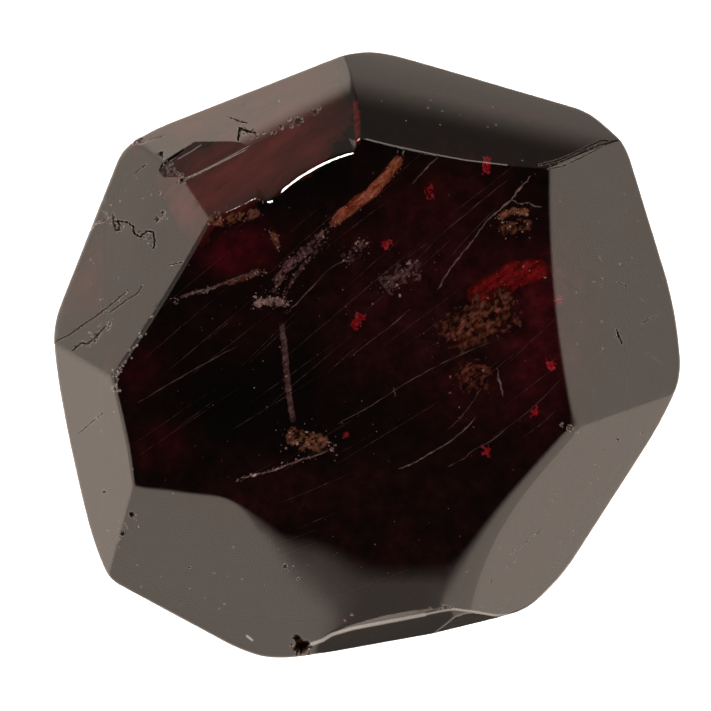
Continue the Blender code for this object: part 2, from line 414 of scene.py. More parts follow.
def lower_distance(p):
    """The side walls, the underside's flats and the level flat that the stone rests on."""
    distance = -p[:, 2]
    for azimuth, tilt, reach in CROWN_FLATS.values():
        under = flat_distance(p, azimuth + 180.0, 180.0 - tilt, reach * UNDERSIDE_REACH, 0.0)
        distance = softer_max(distance, under, UNDERSIDE_EASE)
    for azimuth, reach in WALLS.values():
        wall = flat_distance(p, azimuth, WALL_TILT, reach, STONE_HEIGHT - WALL_TOP_DROP)
        distance = softer_max(distance, wall, WALL_CORNER_EASE)
    return distance


def lip_chip_depth(p):
    """How deep a point lies in the lying cylinder that scooped the chip below the front lip."""
    lie_down = Matrix.Rotation(math.radians(90.0 - LIP_CHIP_DIP), 3, "Y")
    turn = Matrix.Rotation(math.radians(LIP_CHIP_TURN), 3, "Z")
    along = np.array((turn @ lie_down) @ Vector((0.0, 0.0, 1.0)))
    offset = p - LIP_CHIP_CENTRE
    across = offset - (offset @ along)[:, None] * along
    return LIP_CHIP_RADIUS - np.linalg.norm(across, axis=1)


def flake_depth(p):
    """How deep a point lies in the block that the flake took away."""
    x, y = FLAKE_EDGE_END
    end = np.array((x, y, crown_height(x, y)))
    above_scar = (p - end) @ axis_of(*FLAKE_SCAR)
    beyond_step = (p - end) @ axis_of(*FLAKE_STEP)
    middle = end + np.array(FLAKE_BLOCK_OFFSET)
    in_block = FLAKE_BLOCK_HALF - np.abs(p - middle).max(axis=1)
    return np.minimum(np.minimum(above_scar, beyond_step), in_block)


def chip_depth(p, x, y, radius, phases):
    """How deep a point lies in one small rough chip."""
    centre = np.array((x, y, crown_height(x, y) + radius * CHIP_LIFT))
    offset = p - centre
    far = np.linalg.norm(offset, axis=1)
    lumps = np.sin(offset * 5.0 / radius + phases).sum(axis=1) / 3.0
    return radius * (1.0 + CHIP_ROUGHNESS * lumps) - far


def crown_height(x, y):
    """Height of the ground crown above a point in plan, with sharp edges."""
    heights = [STONE_HEIGHT - float(dome_drop(x, y))]
    for azimuth, tilt, reach in CROWN_FLATS.values():
        normal = axis_of(azimuth, tilt)
        point = plan_point(azimuth, reach, STONE_HEIGHT)
        heights.append(point[2] - (normal[0] * (x - point[0]) + normal[1] * (y - point[1])) / normal[2])
    return min(heights)


def under_spot(spot):
    """Plan place, in mm, of the crown's surface where the camera sees a spot of its frame."""
    drop = 0.0
    for _ in range(5):
        scale = FIELD_AT_TABLE / FRAME_SIZE * (1.0 + drop / CAMERA_ABOVE_TABLE)
        x = (spot[0] - FRAME_SIZE / 2.0) * scale + CAMERA_PLAN[0]
        y = (FRAME_SIZE / 2.0 - spot[1]) * scale + CAMERA_PLAN[1]
        drop = STONE_HEIGHT - crown_height(x, y)
    return np.array((x, y))


def polish_waves():
    """Directions and phases of the slow unevenness of the polish."""
    dice = np.random.default_rng(WAVE_SEED)
    directions = dice.normal(size=(WAVE_COUNT, 3))
    directions /= np.linalg.norm(directions, axis=1)[:, None]
    lengths = dice.uniform(*WAVE_LENGTHS, size=WAVE_COUNT)
    return directions * (2.0 * math.pi / lengths)[:, None], dice.uniform(0.0, 2.0 * math.pi, WAVE_COUNT)


def distance_to_line(p, line):
    """Distance in plan from each point to a run of straight pieces."""
    nearest = np.full(len(p), np.inf)
    for a, b in zip(line[:-1], line[1:]):
        along = b - a
        share = np.clip(((p - a) @ along) / (along @ along), 0.0, 1.0)
        nearest = np.minimum(nearest, np.linalg.norm(p - a - share[:, None] * along, axis=1))
    return nearest


def plan_line(spots):
    return np.array([under_spot(spot) for spot in spots])


class PlanCells:
    """Points of the crown sorted into square cells of 1 mm, to find those in a box quickly."""

    ACROSS = 60

    def __init__(self, p):
        crown = np.nonzero(p[:, 2] > UNDER_CROWN)[0]
        cells = np.floor(p[crown, :2] + self.ACROSS / 2).astype(int)
        number = cells[:, 0] * self.ACROSS + cells[:, 1]
        order = np.argsort(number, kind="stable")
        self.number = number[order]
        self.index = crown[order]

    def near(self, low, high, margin):
        first = np.floor(low - margin + self.ACROSS / 2).astype(int)
        last = np.floor(high + margin + self.ACROSS / 2).astype(int)
        found = []
        for column in range(first[0], last[0] + 1):
            start = np.searchsorted(self.number, column * self.ACROSS + first[1])
            end = np.searchsorted(self.number, column * self.ACROSS + last[1], side="right")
            found.append(self.index[start:end])
        return np.concatenate(found)


class CrownMarks:
    """Cracks, scratches, pits and worn edges: how deep they cut, how dirty or how rubbed they leave
    the surface, where the rub also paints pale highlights along edges, and how far a point is from the
    nearest one."""

    def __init__(self):
        self.lines = []
        for half_width, depth, dirt, spots in CRACKS.values():
            self.lines.append((half_width, depth, dirt, 0.0, plan_line(spots)))
        for half_width, rub_and_highlight, spots in WORN_EDGES_AND_HIGHLIGHTS.values():
            self.lines.append((half_width, 0.0, 0.0, rub_and_highlight, plan_line(spots)))
        self.pits = [(under_spot(spot), radius, depth, dirt, 0.0) for spot, radius, depth, dirt in PITS]
        for x, y, radius, dirt in CHIPS:
            self.pits.append((np.array((x, y)), radius * CHIP_DIRT_REACH, 0.0, dirt, 0.0))
        dice = np.random.default_rng(CRUMB_SEED)
        for count, stray, largest, dirt, rub_and_highlight, spots in CRUMBS.values():
            line = plan_line(spots)
            for _ in range(count):
                piece = dice.integers(len(line) - 1)
                along = (line[piece + 1] - line[piece]) * dice.uniform()
                place = line[piece] + along + dice.normal(0.0, stray, 2)
                radius = largest * dice.uniform(CRUMB_SMALLEST, 1.0)
                dirty = dirt * dice.uniform(0.3, 1.0)
                rubbed = rub_and_highlight * dice.uniform(0.2, 1.0)
                self.pits.append((place, radius, radius * CRUMB_STEEPNESS, dirty, rubbed))

    def read(self, p):
        """Depth, dirt, rub with its painted edge highlights, and clearance at each point."""
        values = np.zeros((4, len(p)))
        values[3] = FAR_FROM_MARKS
        cells = PlanCells(p)
        for half_width, cut, dirt, rub_and_highlight, line in self.lines:
            where = cells.near(line.min(axis=0), line.max(axis=0), half_width + FAR_FROM_MARKS)
            if len(where):
                away = distance_to_line(p[where, :2], line)
                x, y = p[where, :2].T / CRACK_GRAIN
                waves = np.sin(x * 1.3 + np.sin(y)) * np.cos(y * 0.9 + np.sin(x * 0.7))
                ragged = 1.0 + CRACK_RAGGEDNESS * waves
                self.add(values, where, away / (ragged if dirt else 1.0), half_width, (cut, dirt, rub_and_highlight))
        for centre, radius, cut, dirt, rub_and_highlight in self.pits:
            where = cells.near(centre, centre, radius + FAR_FROM_MARKS)
            if len(where):
                offset = p[where, :2] - centre
                turn = np.arctan2(offset[:, 1], offset[:, 0])
                lobes = np.sin(3.0 * turn + centre[0] * 9.0) * np.cos(2.0 * turn + centre[1] * 7.0)
                ragged = 1.0 + PIT_RAGGEDNESS * lobes
                self.add(values, where, np.linalg.norm(offset, axis=1) / ragged, radius, (cut, dirt, rub_and_highlight))
        values[:3] *= np.clip((p[:, 2] - MARKS_GONE_BELOW) / MARKS_FADE, 0.0, 1.0)
        return values

    @staticmethod
    def add(values, where, away, reach, amounts):
        inside = np.clip(1.0 - away / reach, 0.0, 1.0)
        for row, amount in enumerate(amounts):
            shape = inside if row == 0 else np.sqrt(inside)
            values[row, where] = np.maximum(values[row, where], amount * shape)
        values[3, where] = np.minimum(values[3, where], np.maximum(0.0, away - reach))


class Stone:
    """The stone's surface as a distance: below 0 inside, above 0 outside, in mm."""

    def __init__(self):
        self.marks = CrownMarks()
        self.wave_vectors, self.wave_phases = polish_waves()
        dice = np.random.default_rng(CHIP_SEED)
        self.chip_phases = dice.uniform(0.0, 6.0, size=(len(CHIPS), 3))

    def distance(self, p):
        solid = softer_max(crown_distance(p), lower_distance(p), WALL_EASE)
        solid = solid + WAVE_HEIGHT * np.sin(p @ self.wave_vectors.T + self.wave_phases).mean(axis=1)
        solid = softer_max(solid, lip_chip_depth(p), LIP_CHIP_EASE)
        bevel = (p - LIP_BEVEL_PLACE) @ axis_of(LIP_BEVEL_AZIMUTH, LIP_BEVEL_TILT)
        solid = softer_max(solid, bevel, LIP_BEVEL_EASE)
        solid = np.maximum(solid, flake_depth(p))
        for (x, y, radius, _), phases in zip(CHIPS, self.chip_phases):
            near = np.nonzero(np.abs(p[:, :2] - (x, y)).max(axis=1) < radius * 1.6)[0]
            if len(near):
                solid[near] = np.maximum(solid[near], chip_depth(p[near], x, y, radius, phases))
        return solid + self.marks.read(p)[0]

    def reach(self, directions, guess, spread):
        """Distance from the stone's heart to its surface along each direction, by halving a bracket."""
        low = np.maximum(guess - spread, 0.0)
        high = guess + spread
        steps = SURFACE_STEPS + max(0, int(math.log2(spread)))
        for _ in range(steps):
            middle = 0.5 * (low + high)
            outside = self.distance(STONE_HEART + directions * middle[:, None]) > 0.0
            high = np.where(outside, middle, high)
            low = np.where(outside, low, middle)
        return 0.5 * (low + high)

    def normals(self, p):
        slope = np.zeros_like(p)
        for axis in range(3):
            shift = np.zeros(3)
            shift[axis] = GRADIENT_STEP
            slope[:, axis] = self.distance(p + shift) - self.distance(p - shift)
        return slope / np.linalg.norm(slope, axis=1)[:, None]


# ---------------------------------------------------------------- the stone's mesh


def coordinates(bm):
    return np.array([vert.co for vert in bm.verts])


def finished_mesh(bm, name):
    """Turn a shape in mm into a mesh in metres."""
    bmesh.ops.scale(bm, vec=(MM, MM, MM), verts=bm.verts)
    mesh = bpy.data.meshes.new(name)
    bm.to_mesh(mesh)
    bm.free()
    return mesh


def add_object(name, data):
    item = bpy.data.objects.new(name, data)
    bpy.context.scene.collection.objects.link(item)
    return item


def split_where_it_bends(bm, stone):
    """Halve the edges that cross a bend or a mark, so that the mesh is fine only where it must be."""
    p = coordinates(bm)
    normals = stone.normals(p)
    ends = np.array([(edge.verts[0].index, edge.verts[1].index) for edge in bm.edges])
    a = ends[:, 0]
    b = ends[:, 1]
    length = np.linalg.norm(p[a] - p[b], axis=1)
    bend = np.arccos(np.clip((normals[a] * normals[b]).sum(axis=1), -1.0, 1.0))
    on_crown = (p[a, 2] + p[b, 2]) / 2.0 > FINE_ABOVE
    finest = np.where(on_crown, FINEST_CROWN_EDGE, FINEST_UNDER_EDGE)
    clearance = stone.marks.read((p[a] + p[b]) / 2.0)[3]
    marked = (clearance < length / 2.0) & (length > FINEST_MARK_EDGE)
    split = ((bend > REFINE_ANGLE) & (length > finest)) | marked
    bm.edges.ensure_lookup_table()
    old_count = len(bm.verts)
    chosen = [bm.edges[index] for index in np.nonzero(split)[0]]
    bmesh.ops.subdivide_edges(bm, edges=chosen, cuts=1)
    bmesh.ops.triangulate(bm, faces=[face for face in bm.faces if len(face.verts) > 3])
    bm.verts.ensure_lookup_table()
    bm.verts.index_update()
    return old_count


def settle(bm, stone, first, spread):
    """Move the vertices from number first onwards onto the surface."""
    moved = bm.verts[first:]
    p = np.array([vert.co for vert in moved])
    directions = p - STONE_HEART
    guess = np.linalg.norm(directions, axis=1)
    directions /= guess[:, None]
    reach = stone.reach(directions, guess, spread)
    for vert, co in zip(moved, STONE_HEART + directions * reach[:, None]):
        vert.co = co


def stone_mesh(stone):
    bm = bmesh.new()
    bmesh.ops.create_icosphere(bm, subdivisions=START_SUBDIVISIONS, radius=START_RADIUS)
    bmesh.ops.translate(bm, vec=STONE_HEART, verts=bm.verts)
    bm.verts.ensure_lookup_table()
    settle(bm, stone, 0, START_SPREAD)
    for _ in range(REFINE_PASSES):
        first = split_where_it_bends(bm, stone)
        settle(bm, stone, first, REFINE_SPREAD)
    p = coordinates(bm)
    normals = stone.normals(p)
    marks = stone.marks.read(p)
    mesh = finished_mesh(bm, "garnet_surface")
    for name, values in (("dirt", marks[1]), ("rub_and_highlight", marks[2])):
        mesh.attributes.new(name, "FLOAT", "POINT").data.foreach_set("value", values.astype(np.float32))
    mesh.shade_smooth()
    mesh.normals_split_custom_set_from_vertices([tuple(normal) for normal in normals])
    return mesh


STONE = Stone()

# ---------------------------------------------------------------- node helpers

# The colour sockets of a Mix node, which share their names with its number sockets.
MIX_A = 6
MIX_B = 7
MIX_RESULT = 2

# What is sealed in the stone is bonded to it, so it has no shine of its own.
MATCHED_IOR = 1.0


def linear(hex_colour):
    """An sRGB hex colour as linear RGBA."""
    values = [int(hex_colour[i : i + 2], 16) / 255.0 for i in (1, 3, 5)]
    return tuple(v / 12.92 if v <= 0.04045 else ((v + 0.055) / 1.055) ** 2.4 for v in values) + (1.0,)


def add_node(tree, kind, inputs=None, **settings):
    """Add a node, give it its settings, and link or fill its inputs."""
    made = tree.nodes.new(kind)
    for name, value in settings.items():
        setattr(made, name, value)
    for socket, value in (inputs or {}).items():
        if isinstance(value, bpy.types.NodeSocket):
            tree.links.new(value, made.inputs[socket])
        else:
            made.inputs[socket].default_value = value
    return made


def new_material(name):
    material = bpy.data.materials.new(name)
    material.use_nodes = True
    material.node_tree.nodes.clear()
    return material, material.node_tree


def attribute(tree, name):
    return add_node(tree, "ShaderNodeAttribute", attribute_name=name).outputs["Fac"]


def object_place(tree):
    return add_node(tree, "ShaderNodeTexCoord").outputs["Object"]


def noise_value(tree, place, scale, detail, roughness=0.5):
    return add_node(tree, "ShaderNodeTexNoise", {
        "Vector": place, "Scale": scale, "Detail": detail, "Roughness": roughness,
    }).outputs["Fac"]


def remap(tree, value, low, high, to_low=0.0, to_high=1.0, interpolation="LINEAR"):
    return add_node(tree, "ShaderNodeMapRange", {
        "Value": value, "From Min": low, "From Max": high, "To Min": to_low, "To Max": to_high,
    }, interpolation_type=interpolation).outputs["Result"]


def combine(tree, operation, *values, clamped=False):
    inputs = dict(enumerate(values))
    return add_node(tree, "ShaderNodeMath", inputs, operation=operation, use_clamp=clamped).outputs[0]


def mix_values(tree, share, first, second):
    return add_node(tree, "ShaderNodeMix", {"Factor": share, "A": first, "B": second}).outputs["Result"]


def mix_colours(tree, share, first, second):
    return add_node(tree, "ShaderNodeMix", {
        0: share, MIX_A: first, MIX_B: second,
    }, data_type="RGBA").outputs[MIX_RESULT]


def bump(tree, height, strength, distance):
    return add_node(tree, "ShaderNodeBump", {
        "Height": height, "Strength": strength, "Distance": distance,
    }).outputs["Normal"]


def dull_surface(tree, colour, roughness, **more):
    """End a material with the dull surface of something sealed in the stone."""
    shader = add_node(tree, "ShaderNodeBsdfPrincipled", {
        "Base Color": colour, "Roughness": roughness, "IOR": MATCHED_IOR, "Specular IOR Level": 0.0, **more,
    })
    add_node(tree, "ShaderNodeOutputMaterial", {"Surface": shader.outputs["BSDF"]})


# ---------------------------------------------------------------- materials

BLACK = (0.0, 0.0, 0.0, 1.0)

# Roughness of a glassy polish, of a rubbed edge and of caked dirt.
POLISH = 0.002
RUBBED = 0.5
CAKED = 0.9

# How strongly dirt takes on the dark of its crust, and how little of dirt, or of rub with its painted
# edge highlights, already tints.
CRUST_GAIN = 2.0
TINT_GAIN = 8.0

# What almandine lets through of red, green and blue, and how quickly it takes the rest, per metre.
GARNET_TINT = (0.70, 0.054, 0.19, 1.0)
GARNET_DENSITY = 370.0


def polished_garnet():
    """Almandine garnet with a hand polish: glassy, so dark that only thin or lit parts look red.
    Cracks and pits hold rust-black dirt, worn edges are rubbed pale and rough, their paleness also
    painting thin edge highlights, and fine straight scratches are left from polishing."""
    material, tree = new_material("polished_garnet")
    dirt = attribute(tree, "dirt")
    rub_and_highlight = attribute(tree, "rub_and_highlight")
    # Polishing scratches lie about 0.25 mm apart and run nearly front to back.
    stretched = add_node(tree, "ShaderNodeMapping", {
        "Vector": object_place(tree),
        "Rotation": (0.0, 0.0, math.radians(8.0)),
        "Scale": (4000.0, 240.0, 240.0),
    }).outputs["Vector"]
    scratches = noise_value(tree, stretched, 1.0, 2.0, 0.6)
    rough = mix_values(tree, dirt, mix_values(tree, rub_and_highlight, POLISH, RUBBED), CAKED)
    clear = combine(tree, "SUBTRACT", 1.0, combine(tree, "MAXIMUM", dirt, rub_and_highlight))
    any_dirt = combine(tree, "MULTIPLY", dirt, TINT_GAIN, clamped=True)
    any_rub_and_highlight = combine(tree, "MULTIPLY", rub_and_highlight, TINT_GAIN, clamped=True)
    crust = combine(tree, "MULTIPLY", dirt, CRUST_GAIN, clamped=True)
    stain = mix_colours(tree, dirt, linear("#3a281c"), linear("#0a0604"))
    # Rubbed edges turn pale, a tint that also paints thin highlights along edges.
    tint = mix_colours(tree, any_rub_and_highlight, linear("#fff8f4"), linear("#b6aea8"))
    tint = mix_colours(tree, any_dirt, tint, stain)
    shader = add_node(tree, "ShaderNodeBsdfPrincipled", {
        "Base Color": tint, "Roughness": rough, "Transmission Weight": clear, "IOR": GARNET_IOR,
        "Metallic": crust, "Normal": bump(tree, scratches, 0.05, 0.00002),
    })
    depth = add_node(tree, "ShaderNodeVolumeAbsorption", {"Color": GARNET_TINT, "Density": GARNET_DENSITY})
    add_node(tree, "ShaderNodeOutputMaterial", {
        "Surface": shader.outputs["BSDF"], "Volume": depth.outputs["Volume"],
    })
    return material


def film_finish(name, dark, light, grain, rough, detail=5.0, lumps=0.5):
    """A film sealed in the stone, dull, mottled from dark to light over a grain size in mm, drawn out
    along the crystal's growth, and fading to the black of the stone. Most finishes are healed cracks
    filled with fine mineral grains; the red ones paint a glow of light inside the stone."""
    material, tree = new_material(name)
    turned = add_node(tree, "ShaderNodeVectorRotate", {
        "Vector": object_place(tree), "Angle": -math.radians(GROWTH_SLANT_BACK),
    }, rotation_type="Z_AXIS").outputs["Vector"]
    finest = 1.0 / (grain * MM)
    drawn_out = add_node(tree, "ShaderNodeMapping", {
        "Vector": turned, "Scale": (0.3 * finest, finest, finest),
    }).outputs["Vector"]
    mottle = noise_value(tree, drawn_out, 1.0, detail, 0.7)
    colour = mix_colours(tree, remap(tree, mottle, 0.38, 0.66), linear(dark), linear(light))
    faded = mix_colours(tree, attribute(tree, "show"), BLACK, colour)
    dull_surface(tree, faded, rough, Normal=bump(tree, mottle, lumps, grain * MM * 0.3))
    return material


def layer_finish():
    """Painted red glow in the stone, from crimson to brown, on a sheet that is black where it does not glow.
    """
    material, tree = new_material("painted_glow_layer")
    # Mottling about 1 mm across.
    mottle = noise_value(tree, object_place(tree), 1000.0, 3.0, 0.7)
    spread = remap(tree, mottle, 0.30, 0.70, 0.35, 1.0)
    hue = mix_colours(tree, attribute(tree, "warmth"), linear("#ff4a90"), linear("#e6c4bc"))
    share = combine(tree, "MULTIPLY", attribute(tree, "show"), spread)
    dull_surface(tree, mix_colours(tree, share, BLACK, hue), 0.7)
    return material


def flake_finish(name, dark, light, rough):
    """Loose mica-like flakes that catch the light, each a little different."""
    material, tree = new_material(name)
    mottle = noise_value(tree, object_place(tree), 2500.0, 2.0)
    dull_surface(tree, mix_colours(tree, remap(tree, mottle, 0.35, 0.65), linear(dark), linear(light)), rough)
    return material


def inclusion_finishes():
    return {
        "rust": film_finish("iron_stained_film", "#8a3c18", "#ffb890", 0.30, 0.6),
        "ash": film_finish("healed_crack_film", "#8a7a74", "#f4ece6", 0.25, 0.6),
        "gold": film_finish("tan_mineral_film", "#7a4c30", "#f0c89a", 0.30, 0.6),
        # A sheet painting the stone's red glow, black where the stone looks darkest.
        "layer": layer_finish(),
        # Soft red sheets that paint the glow of light coming through the stone's thin edges.
        "painted_glow": film_finish("painted_glow_film", "#9a4038", "#d0685c", 2.0, 0.7, 3.0, 0.1),
        # Red film: a crack coloured bright red to paint the glow of light off it inside the stone.
        "ember": film_finish("red_brown_film", "#8c1820", "#ff4c50", 0.35, 0.6),
        "flake": flake_finish("bright_flake", "#c8beb8", "#ffffff", 0.4),
        # Red flakes that paint glints of light off cracks deep in the stone.
        "glint": flake_finish("deep_flake", "#ff2c48", "#ff8c9c", 0.3),
        "growth": flake_finish("growth_line", "#4a3e3a", "#8c807a", 0.6),
    }


def pale_floor():
    """Smooth warm-white card under the stone, with a faint grain about 1 mm across."""
    material, tree = new_material("pale_floor")
    grain = noise_value(tree, object_place(tree), 900.0, 2.0)
    shader = add_node(tree, "ShaderNodeBsdfPrincipled", {
        "Base Color": mix_colours(tree, grain, linear("#f4f0ec"), linear("#faf7f4")),
        "Roughness": 0.9, "Specular IOR Level": 0.2,
    })
    add_node(tree, "ShaderNodeOutputMaterial", {"Surface": shader.outputs["BSDF"]})
    return material


# ---------------------------------------------------------------- light tent, floor and camera

# Light tent: brightness of its wall, and of the open top that the camera looks in through.
WALL_LIGHT = 1.30
TOP_LIGHT = 0.02
WALL_FULL_BELOW = 28.0
WALL_GONE_ABOVE = 50.0
TENT_TINT = "#ffecdc"
BACKDROP = "#ffffff"

# Stretches of the tent are in shadow: middle azimuth, half width and softness of the sides, the
# elevations that the shadow fades in over, and the light below and above those.
SHADOWS = {
    "back": (100.0, 62.0, 10.0, -12.0, -1.0, 1.75, 0.24),
    "back_right": (66.0, 32.0, 8.0, -16.0, -1.0, 0.80, 0.14),
    "front": (-82.0, 24.0, 10.0, -4.0, 4.0, 1.70, 0.42),
    "front_low": (-62.0, 18.0, 6.0, -22.0, -14.0, 0.30, 9.0),
}
BELOW_LIGHT = 1.75

# Softboxes: azimuth, elevation, distance (m), width and height (m), radiance, and colour.
SOFTBOXES = {
    "key_box": (119.0, 52.0, 1.2, 0.50, 0.09, 26.0, "#fff8f2"),
    "back_box": (80.0, 52.0, 1.2, 0.20, 0.12, 1.5, "#fff4ea"),
}

# Two large lights overhead keep out of reflections, so that the table stays dark: one for the floor,
# one that gets into the stone. Radiance, colour, and whether it shows through the stone.
OVERHEAD_LIGHTS = {
    "floor_wash": (7.0, "#ffffff", False),
    "inner_light": (8.0, "#fff4ea", True),
}
OVERHEAD_HEIGHT = 1.6
OVERHEAD_SIZE = 2.6

FLOOR_HALF_WIDTH = 30.0
FLOOR_GAP = 0.05


def rise_of(elevation):
    """Height of a unit direction at an elevation in degrees."""
    return math.sin(math.radians(elevation))


def light_tent():
    """The tent around the stone, as light that depends on the direction: pale walls, a dark open
    top, and a shaded back. The camera itself sees a plain pale backdrop."""
    world = bpy.data.worlds.new("light_tent")
    world.use_nodes = True
    tree = world.node_tree
    tree.nodes.clear()
    direction = add_node(tree, "ShaderNodeTexCoord").outputs["Generated"]
    parts = add_node(tree, "ShaderNodeSeparateXYZ", {"Vector": direction}).outputs
    up = parts["Z"]
    full = rise_of(WALL_FULL_BELOW)
    gone = rise_of(WALL_GONE_ABOVE)
    wall = remap(tree, up, full, gone, WALL_LIGHT, TOP_LIGHT, "SMOOTHSTEP")
    wall = mix_values(tree, combine(tree, "LESS_THAN", up, 0.0), wall, BELOW_LIGHT)
    azimuth = combine(tree, "ARCTAN2", parts["Y"], parts["X"])
    strength = wall
    for middle, half_width, softness, low, high, below_it, above_it in SHADOWS.values():
        shade = remap(tree, up, rise_of(low), rise_of(high), below_it, above_it, "SMOOTHSTEP")
        shade = combine(tree, "MINIMUM", shade, wall)
        turned = combine(tree, "SUBTRACT", azimuth, math.radians(middle))
        away = combine(tree, "ABSOLUTE", combine(tree, "WRAP", turned, -math.pi, math.pi))
        inner = math.radians(half_width - softness)
        outer = math.radians(half_width + softness)
        in_shade = remap(tree, away, inner, outer, 1.0, 0.0, "SMOOTHSTEP")
        strength = mix_values(tree, in_shade, strength, shade)
    tent = add_node(tree, "ShaderNodeBackground", {"Color": linear(TENT_TINT), "Strength": strength})
    backdrop = add_node(tree, "ShaderNodeBackground", {"Color": linear(BACKDROP), "Strength": 1.0})
    seen = add_node(tree, "ShaderNodeLightPath").outputs["Is Camera Ray"]
    mix = add_node(tree, "ShaderNodeMixShader", {0: seen, 1: tent.outputs[0], 2: backdrop.outputs[0]})
    add_node(tree, "ShaderNodeOutputWorld", {"Surface": mix.outputs[0]})
    bpy.context.scene.world = world


def aim(item, place, target):
    item.location = place
    item.rotation_euler = (Vector(target) - Vector(place)).to_track_quat("-Z", "Y").to_euler()


def area_light(name, place, target, width, height, radiance, colour):
    """A flat soft light whose face has the given radiance."""
    light = bpy.data.lights.new(name, "AREA")
    light.shape = "RECTANGLE"
    light.size = width
    light.size_y = height
    light.energy = radiance * math.pi * width * height
    light.color = linear(colour)[:3]
    item = add_object(name, light)
    aim(item, place, target)
    return item


def studio_lights():
    middle = Vector((0.0, 0.0, STONE_HEIGHT * MM))
    for name, (azimuth, elevation, distance, width, height, radiance, colour) in SOFTBOXES.items():
        towards = Vector(axis_of(azimuth, 90.0 - elevation))
        item = area_light(name, middle + towards * distance, middle, width, height, radiance, colour)
        item.visible_camera = False
        item.visible_transmission = False
    for name, (radiance, colour, enters) in OVERHEAD_LIGHTS.items():
        above = (0.0, 0.0, OVERHEAD_HEIGHT)
        item = area_light(name, above, middle, OVERHEAD_SIZE, OVERHEAD_SIZE, radiance, colour)
        item.visible_camera = False
        item.visible_glossy = False
        item.visible_transmission = enters


def floor_card():
    bm = bmesh.new()
    bmesh.ops.create_grid(bm, x_segments=8, y_segments=8, size=FLOOR_HALF_WIDTH)
    bmesh.ops.translate(bm, vec=(0.0, 0.0, -FLOOR_GAP), verts=bm.verts)
    mesh = finished_mesh(bm, "floor")
    mesh.materials.append(pale_floor())
    card = add_object("floor", mesh)


def camera_above():
    lens = bpy.data.cameras.new("camera")
    lens.sensor_width = SENSOR
    lens.lens = SENSOR * CAMERA_ABOVE_TABLE / FIELD_AT_TABLE
    lens.clip_start = 0.01
    item = add_object("camera", lens)
    item.location = Vector((*CAMERA_PLAN, STONE_HEIGHT + CAMERA_ABOVE_TABLE)) * MM
    bpy.context.scene.camera = item


# ---------------------------------------------------------------- sealed in the stone

